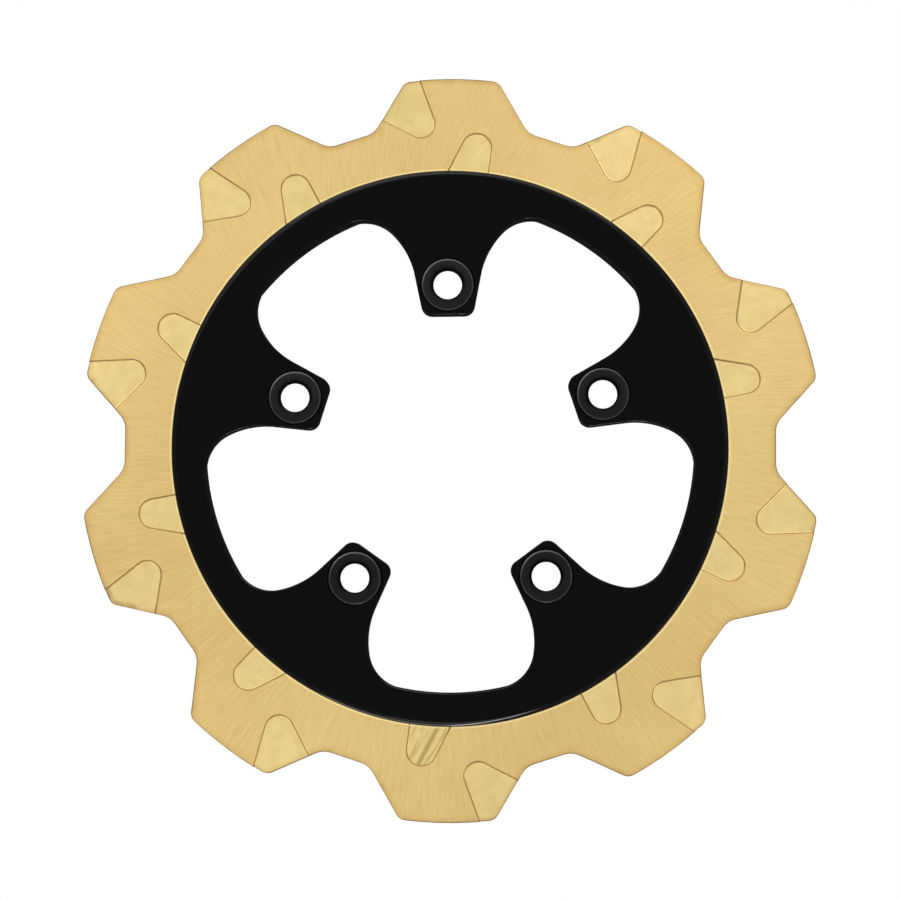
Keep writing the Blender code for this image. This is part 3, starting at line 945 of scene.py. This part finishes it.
def ground_gold():
    """Gold-tinted steel: fine grinding marks that run outward in slightly swept lines, smoother pocket floors, and an amber tint at the edges."""
    n = Nodes("ground_gold_steel")
    place = n.place()
    x, y, z = n.split(place)
    radius = n.math("SQRT", n.math("ADD", n.math("MULTIPLY", x, x), n.math("MULTIPLY", z, z)))
    angle = n.math("ARCTAN2", z, x)
    reach = n.math("LOGARITHM", n.math("DIVIDE", radius, 0.130), math.e)
    sweep = n.math(
        "MULTIPLY_ADD", n.math("SINE", angle), 0.19, 0.13
    )
    line = n.math("ADD", angle, n.math("MULTIPLY", sweep, reach))
    cosine, sine = n.math("COSINE", line), n.math("SINE", line)
    side = n.math("MULTIPLY", n.math("SIGN", y), 7.0)

    def grind(across, along):
        return n.vector(
            n.math("MULTIPLY", cosine, across),
            n.math("MULTIPLY", sine, across),
            n.math("MULTIPLY_ADD", radius, along, side),
        )

    fine = n.noise(grind(300.0, 110.0), 1.0, 1.0, 0.6)
    scratch = n.noise(grind(135.0, 60.0), 1.0, 1.0, 0.5)
    coarse = n.noise(grind(62.0, 22.0), 1.0, 2.0, 0.55)
    cloud = n.noise(place, 14.0, 3.0, 0.55)
    mottle = n.noise(place, 85.0, 4.0, 0.6, 0.6)
    pocket = n.mark("pocket_mm")
    edge = n.mark("edge_mm")

    # The ground face
    tone = n.math(
        "ADD",
        n.math("MULTIPLY", n.math("SUBTRACT", fine, 0.5), 1.55),
        n.math("MULTIPLY", n.math("SUBTRACT", coarse, 0.5), 0.12),
    )
    tone = n.math("ADD", tone, n.math("MULTIPLY", n.math("SUBTRACT", scratch, 0.5), 0.30))
    tone = n.math("ADD", tone, n.math("MULTIPLY", n.math("SUBTRACT", cloud, 0.5), 1.3))
    tone = n.math("ADD", tone, 0.5, clamp=True)
    face = mix_colour(n, tone, (0.640, 0.445, 0.165), (0.770, 0.570, 0.235))
    # Grime and heat tint near the outer edges, broken up by the mottle
    near_edge = n.span(edge, 0.1, 3.2, 1.0, 0.0, smooth=True)
    broken = n.span(mottle, 0.35, 0.68, 0.25, 1.0)
    tint = n.math("MULTIPLY", n.math("MULTIPLY", near_edge, broken), 0.62)
    face = mix_colour(n, tint, face, (0.500, 0.300, 0.095))

    # The pockets' floors
    blotch = n.noise(place, 120.0, 3.0, 0.55, 1.2)
    floor_tone = n.span(blotch, 0.3, 0.7)
    floor = mix_colour(n, floor_tone, (0.700, 0.530, 0.215), (0.790, 0.610, 0.265))
    # One pocket carries darker streaks, at a slant
    from_x, from_z = n.math("ADD", x, 0.0077), n.math("ADD", z, 0.1206)
    across = n.math(
        "ADD", n.math("MULTIPLY", from_x, 0.88), n.math("MULTIPLY", from_z, -0.48)
    )
    along = n.math(
        "ADD", n.math("MULTIPLY", from_x, 0.48), n.math("MULTIPLY", from_z, 0.88)
    )
    away = n.math(
        "SQRT",
        n.math("ADD", n.math("MULTIPLY", from_x, from_x), n.math("MULTIPLY", from_z, from_z)),
    )
    streak = n.noise(
        n.vector(n.math("MULTIPLY", across, 650.0), n.math("MULTIPLY", along, 60.0), side),
        1.0,
        2.0,
        0.5,
        0.4,
    )
    band = n.span(n.math("ABSOLUTE", n.math("ADD", across, 0.0022)), 0.0003, 0.0014, 1.0, 0.0)
    stain = n.math(
        "MAXIMUM", n.span(streak, 0.52, 0.70, 0.0, 0.75), n.math("MULTIPLY", band, 0.9)
    )
    stain = n.math("MULTIPLY", stain, n.span(away, 0.014, 0.020, 1.0, 0.0))
    floor = mix_colour(n, n.math("MULTIPLY", stain, 0.75), floor, (0.300, 0.225, 0.055))
    # Faint brown blots on the floors' outer ends
    blot = n.math(
        "MULTIPLY",
        n.span(n.noise(place, 60.0, 3.0, 0.6), 0.60, 0.68),
        n.span(edge, 0.3, 2.6, 1.0, 0.0),
    )
    floor = mix_colour(n, n.math("MULTIPLY", blot, 0.7), floor, (0.260, 0.140, 0.045))
    floor_edge = n.math("MULTIPLY", n.span(edge, 0.1, 2.2, 1.0, 0.0, smooth=True), 0.45)
    floor = mix_colour(n, floor_edge, floor, (0.560, 0.350, 0.110))

    on_floor = n.span(pocket, 0.1, 0.5, smooth=True)
    colour = mix_colour(n, on_floor, face, floor)
    # The pockets' sides: painted reflection, a brighter amber standing in for light bounced between wall and floor
    wall = n.math(
        "MULTIPLY",
        n.span(pocket, -0.16, 0.04, smooth=True),
        n.span(pocket, 0.34, 0.62, 1.0, 0.0, smooth=True),
    )
    colour = mix_colour(n, n.math("MULTIPLY", wall, 0.85), colour, (0.800, 0.570, 0.230))
    # Painted highlight: the ground face is painted a touch brighter just outside the carrier's rim
    rim_painted_highlight = n.span(radius, 0.1123, 0.1132, 0.85, 0.0, smooth=True)
    colour = mix_colour(n, rim_painted_highlight, colour, (0.930, 0.760, 0.360))
    # The very edge
    rim = n.span(edge, 0.0, 0.80, 0.80, 0.0, smooth=True)
    colour = mix_colour(n, rim, colour, (0.330, 0.185, 0.050))

    ground = n.math("SUBTRACT", 1.0, on_floor)
    roughness = n.math("MULTIPLY_ADD", fine, 0.10, 0.33)
    roughness = n.math("ADD", roughness, n.math("MULTIPLY", n.math("SUBTRACT", coarse, 0.5), 0.06))
    smoother = n.math("MULTIPLY_ADD", blotch, 0.10, 0.30)
    rough = n.math(
        "ADD",
        n.math("MULTIPLY", roughness, ground),
        n.math("MULTIPLY", smoother, on_floor),
    )
    rough = n.math("MAXIMUM", rough, n.math("MULTIPLY", wall, 0.85))
    marks = n.math(
        "ADD", n.math("MULTIPLY", fine, 0.8), n.math("MULTIPLY", coarse, 0.25)
    )
    height = n.math(
        "ADD",
        n.math("MULTIPLY", marks, ground),
        n.math("MULTIPLY", n.math("MULTIPLY", blotch, 0.8), on_floor),
    )
    n.set(Base_Color=colour, Metallic=1.0, Roughness=rough)
    n.put(n.shader.inputs["Normal"], n.bump(height, 0.35, 0.00006))
    return n.material


def gloss_black():
    """Thick gloss black coat on billet: almost flat, with the faintest orange peel."""
    n = Nodes("gloss_black_coat")
    place = n.place()
    peel = n.noise(place, 420.0, 2.0, 0.5)
    cloud = n.noise(place, 30.0, 3.0, 0.5)
    dust = n.noise(place, 1600.0, 1.0, 0.5)
    colour = mix_colour(
        n, n.span(cloud, 0.3, 0.7), (0.0014, 0.0014, 0.0015), (0.0024, 0.0024, 0.0025)
    )
    speck = n.math("MULTIPLY", n.span(dust, 0.76, 0.80), 0.4, clamp=True)
    colour = mix_colour(n, speck, colour, (0.020, 0.020, 0.020))
    rough = n.span(cloud, 0.2, 0.8, 0.075, 0.13)
    n.set(Base_Color=colour, Metallic=0.0, Roughness=rough)
    n.put(n.shader.inputs["Normal"], n.bump(peel, 0.06, 0.00004))
    return n.material


def satin_steel(name, dark, light, low, high, centre=None, bump=0.12, flange=None):
    """Turned steel with a satin finish: fine lathe rings round its own axis."""
    n = Nodes(name)
    place = n.place()
    x, y, z = n.split(place)
    if centre is None:
        radius = n.math(
            "SQRT", n.math("ADD", n.math("MULTIPLY", x, x), n.math("MULTIPLY", z, z))
        )
    else:
        dx = n.math("SUBTRACT", x, centre[0] * 0.001)
        dz = n.math("SUBTRACT", z, centre[1] * 0.001)
        radius = n.math(
            "SQRT", n.math("ADD", n.math("MULTIPLY", dx, dx), n.math("MULTIPLY", dz, dz))
        )
    rings = n.noise(
        n.vector(n.math("MULTIPLY", radius, 5200.0), n.math("MULTIPLY", y, 5200.0), 0.0),
        1.0,
        2.0,
        0.6,
    )
    cloud = n.noise(place, 160.0, 3.0, 0.55)
    tone = n.math(
        "ADD",
        n.math("MULTIPLY", rings, 0.5),
        n.math("MULTIPLY", n.span(cloud, 0.3, 0.7), 0.5),
        clamp=True,
    )
    colour = mix_colour(n, tone, dark, light)
    if flange is not None:
        # Painted shade darkening the face towards the bore, and a painted highlight on the flange's rounded edge
        bore, outer = flange
        bore_painted_shade = n.span(radius, bore * 0.001, (bore + 2.8) * 0.001, 0.75, 0.0, smooth=True)
        colour = mix_colour(n, bore_painted_shade, colour, (0.028, 0.028, 0.029))
        flange_painted_highlight = n.math(
            "MULTIPLY",
            n.span(radius, (outer - 0.95) * 0.001, (outer - 0.60) * 0.001, smooth=True),
            n.span(radius, (outer - 0.25) * 0.001, (outer - 0.05) * 0.001, 1.0, 0.0, smooth=True),
        )
        colour = mix_colour(n, n.math("MULTIPLY", flange_painted_highlight, 0.85), colour, (0.250, 0.250, 0.248))
    rough = n.math("MULTIPLY_ADD", tone, high - low, low)
    n.set(Base_Color=colour, Metallic=1.0, Roughness=rough)
    n.put(n.shader.inputs["Normal"], n.bump(rings, bump, 0.00003))
    return n.material


def satin_black():
    """Hard-anodised black on the retaining ring: satin, with faint turning marks."""
    n = Nodes("satin_black_plate")
    place = n.place()
    x, y, z = n.split(place)
    radius = n.math("SQRT", n.math("ADD", n.math("MULTIPLY", x, x), n.math("MULTIPLY", z, z)))
    rings = n.noise(
        n.vector(n.math("MULTIPLY", radius, 3600.0), n.math("MULTIPLY", y, 3600.0), 0.0),
        1.0,
        2.0,
        0.6,
    )
    grain = n.noise(place, 2600.0, 2.0, 0.6)
    cloud = n.noise(place, 45.0, 3.0, 0.5)
    colour = mix_colour(
        n, n.span(cloud, 0.3, 0.7), (0.0075, 0.0075, 0.0080), (0.0135, 0.0135, 0.0140)
    )
    rough = n.math("MULTIPLY_ADD", grain, 0.12, 0.34)
    n.set(Base_Color=colour, Metallic=0.0, Roughness=rough)
    height = n.math("ADD", n.math("MULTIPLY", rings, 0.7), n.math("MULTIPLY", grain, 0.3))
    n.put(n.shader.inputs["Normal"], n.bump(height, 0.16, 0.00003))
    return n.material


def black_oxide():
    """Black oxide on the screws: dark, slightly oily, lighter where it has rubbed."""
    n = Nodes("black_oxide_screw")
    place = n.place()
    grain = n.noise(place, 1900.0, 3.0, 0.6)
    cloud = n.noise(place, 420.0, 3.0, 0.55)
    colour = mix_colour(
        n, n.span(cloud, 0.35, 0.75), (0.022, 0.022, 0.024), (0.055, 0.054, 0.056)
    )
    rough = n.math("MULTIPLY_ADD", grain, 0.18, 0.28)
    n.set(Base_Color=colour, Metallic=1.0, Roughness=rough)
    n.put(n.shader.inputs["Normal"], n.bump(grain, 0.15, 0.00003))
    return n.material


def pale_floor():
    n = Nodes("pale_floor")
    grain = n.noise(n.place(), 3.0, 4.0, 0.5)
    n.set(
        Base_Color=mix_colour(n, grain, (0.80, 0.80, 0.80), (0.86, 0.86, 0.86)),
        Roughness=0.9,
    )
    return n.material


def dress(piece, material, body, slot, *nodes):
    piece.data.materials.clear()
    piece.data.materials.append(material)
    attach(piece, body)
    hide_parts(*nodes)
    return piece


def soft_light(name, spot, target, size, radiance, receivers=None, size_y=None):
    """A flat softbox of this radiance, aimed at a point."""
    data = bpy.data.lights.new(name, "AREA")
    data.shape = "RECTANGLE"
    data.size = size
    data.size_y = size_y or size
    data.energy = radiance * math.pi * data.size * data.size_y
    light = bpy.data.objects.new(name, data)
    bpy.context.scene.collection.objects.link(light)
    light.location = spot
    light.rotation_euler = (
        (Vector(target) - Vector(spot)).to_track_quat("-Z", "Y").to_euler()
    )
    if receivers is not None:
        light.light_linking.receiver_collection = receivers
    return light


def off_axis(azimuth, degrees, distance, back=False):
    """A place this far from the rotor, so many degrees off its axle line."""
    a, b = math.radians(azimuth), math.radians(degrees)
    y = distance * math.cos(b)
    return (
        distance * math.sin(b) * math.cos(a),
        y if back else -y,
        distance * math.sin(b) * math.sin(a),
    )


def build():
    gold = ground_gold()
    black = gloss_black()
    plate = satin_black()
    screw_steel = black_oxide()
    carried, ringed = "carrier_group", "ring_group"

    pieces_gold, pieces_black = [], []
    ring = dress(friction_ring(), gold, ringed, "gold_steel", "friction_ring")
    pieces_gold.append(ring)
    pieces_black.append(dress(carrier(), black, carried, "gloss_black", "carrier"))
    pieces_black.append(
        dress(retaining_ring(), plate, carried, "black_plate", "retaining_ring")
    )
    for k in range(LUGS):
        spot = polar(BOLT_RADIUS, 90.0 - 72.0 * k)
        steel = satin_steel(
            f"satin_bush_{k + 1}",
            (0.075, 0.075, 0.078),
            (0.110, 0.110, 0.113),
            0.34,
            0.46,
            centre=spot,
            flange=(BUSH_BORE, BUSH_FLANGE),
        )
        pieces_black.append(
            dress(
                bush(f"mounting_bush_turned_{k + 1}", spot),
                steel,
                carried,
                "bush_steel",
                f"mounting_bush_{k + 1}",
            )
        )
    bare = satin_steel(
        "bare_pin_steel", (0.42, 0.42, 0.41), (0.56, 0.56, 0.54), 0.24, 0.36
    )
    for k in range(PINS):
        spot = polar(PIN_CIRCLE, 108.0 + TEETH_TURN - 36.0 * k)
        pieces_gold.append(
            dress(
                pin(f"drive_pin_turned_{k + 1:02d}", spot),
                bare,
                carried,
                "bare_steel",
                f"drive_pin_{k + 1:02d}",
            )
        )
    for k in range(SCREWS):
        degrees = 90.0 + TEETH_TURN - 36.0 * k
        spot = polar(SCREW_CIRCLE, degrees)
        pieces_black.append(
            dress(
                screw(f"retaining_screw_socket_{k + 1:02d}", spot, degrees),
                screw_steel,
                carried,
                "black_screw",
                f"retaining_screw_{k + 1:02d}",
            )
        )

    # Floor
    floor_mesh = bpy.data.meshes.new("floor")
    bm = bmesh.new()
    bmesh.ops.create_grid(bm, x_segments=8, y_segments=8, size=2.2)
    bm.to_mesh(floor_mesh)
    bm.free()
    floor = bpy.data.objects.new("floor", floor_mesh)
    bpy.context.scene.collection.objects.link(floor)
    floor.location = (0.0, 0.0, -0.95)
    floor.data.materials.append(pale_floor())

    # World: white to look at, dim as a light
    scene = bpy.context.scene
    world = bpy.data.worlds.new("studio")
    scene.world = world
    world.use_nodes = True
    tree = world.node_tree
    tree.nodes.clear()
    out = tree.nodes.new("ShaderNodeOutputWorld")
    seen = tree.nodes.new("ShaderNodeBackground")
    seen.inputs[0].default_value = (1.0, 1.0, 1.0, 1.0)
    seen.inputs[1].default_value = 1.0
    lit = tree.nodes.new("ShaderNodeBackground")
    lit.inputs[0].default_value = (1.0, 1.0, 1.0, 1.0)
    # The studio is dim behind the rotor, so that walls seen at a glance stay dark
    place = tree.nodes.new("ShaderNodeTexCoord")
    parts = tree.nodes.new("ShaderNodeSeparateXYZ")
    behind = tree.nodes.new("ShaderNodeMapRange")
    behind.interpolation_type = "SMOOTHSTEP"
    behind.inputs["From Min"].default_value = 0.55
    behind.inputs["From Max"].default_value = 0.85
    behind.inputs["To Min"].default_value = 0.12
    behind.inputs["To Max"].default_value = 0.02
    tree.links.new(place.outputs["Generated"], parts.inputs[0])
    tree.links.new(parts.outputs["Y"], behind.inputs["Value"])
    tree.links.new(behind.outputs["Result"], lit.inputs[1])
    path = tree.nodes.new("ShaderNodeLightPath")
    both = tree.nodes.new("ShaderNodeMixShader")
    tree.links.new(path.outputs["Is Camera Ray"], both.inputs[0])
    tree.links.new(lit.outputs[0], both.inputs[1])
    tree.links.new(seen.outputs[0], both.inputs[2])
    tree.links.new(both.outputs[0], out.inputs[0])

    # Lights. The gold and the black pieces each have their own softboxes
    gold_group = bpy.data.collections.new("lit_for_gold")
    black_group = bpy.data.collections.new("lit_for_black")
    carrier_group = bpy.data.collections.new("lit_for_carrier")
    bush_group = bpy.data.collections.new("lit_for_bushes")
    for piece in pieces_gold:
        gold_group.objects.link(piece)
    for piece in pieces_black:
        black_group.objects.link(piece)
    carrier_group.objects.link(pieces_black[0])
    for piece in pieces_black[2 : 2 + LUGS]:
        bush_group.objects.link(piece)
    for back in (False, True):
        tag = "back" if back else "front"
        soft_light(
            f"gold_{tag}_wide", off_axis(100, 4, 2.6, back), (0, 0, 0), 2.4, 0.89, gold_group
        )
        for k, (azimuth, radiance) in enumerate(((55, 3.1), (145, 2.5), (235, 4.1), (325, 3.1))):
            soft_light(
                f"gold_{tag}_ring_{k}",
                off_axis(azimuth, 42, 1.7, back),
                (0, 0, 0),
                0.8,
                radiance,
                gold_group,
            )
    soft_light("black_upper_left", off_axis(120, 58, 1.6), (0, 0, 0), 1.7, 0.30, black_group)
    for k, radiance in enumerate((0.10, 0.20, 0.12, 0.05, 0.05, 0.06)):
        soft_light(
            f"black_ring_{k}", off_axis(60 * k, 62, 0.95), (0, 0, 0), 0.95, radiance, black_group
        )
    soft_light("bush_spark", off_axis(140, 66, 0.9), (0, 0, 0), 0.45, 1.3, bush_group)
    soft_light("black_strip", off_axis(269, 50, 0.85), (0, 0, 0), 0.33, 1.8, carrier_group, 0.10)
    for side, azimuth, degrees, tall in (("left", 258.0, 90, 0.55), ("right", 275.5, 76, 0.75)):
        soft_light(
            f"black_strip_{side}",
            off_axis(azimuth, degrees, 0.85),
            (0, 0, 0),
            0.05,
            13.0,
            carrier_group,
            tall,
        )
    soft_light("black_back_high", off_axis(70, 48, 1.6, True), (0, 0, 0), 0.9, 1.6, black_group)
    soft_light("black_back_low", off_axis(215, 52, 1.6, True), (0, 0, 0), 0.7, 0.8, black_group)
    soft_light("floor_fill", (0.0, 0.0, 1.9), (0, 0, 0), 2.5, 0.5)

    # Camera, almost on the axle line in front of the outer face. The angles turn
    # the rotor's own frame (x right, y up, h towards the viewer) into the view's
    data = bpy.data.cameras.new("camera")
    camera = bpy.data.objects.new("camera", data)
    scene.collection.objects.link(camera)
    lean, swing, roll = VIEW_ANGLES
    turn = (
        Matrix.Rotation(math.radians(swing), 3, "Y")
        @ Matrix.Rotation(math.radians(lean), 3, "X")
        @ Matrix.Rotation(math.radians(roll), 3, "Z")
    )
    to_world = Matrix(((1, 0, 0), (0, 0, -1), (0, 1, 0)))
    seen_from = to_world @ turn.transposed()
    spot = seen_from @ Vector((-VIEW_CENTRE[0], -VIEW_CENTRE[1], VIEW_DISTANCE))
    camera.matrix_world = Matrix.Translation(spot * 0.001) @ seen_from.to_4x4()
    data.sensor_width = 36.0
    data.lens = 36.0 * VIEW_DISTANCE / VIEW_WIDTH
    data.clip_start = 0.05
    data.clip_end = 50.0
    scene.camera = camera
    scene.view_settings.view_transform = "Standard"
    scene.view_settings.look = "None"
    scene.view_settings.exposure = 0.0
    scene.view_settings.gamma = 1.0


build()
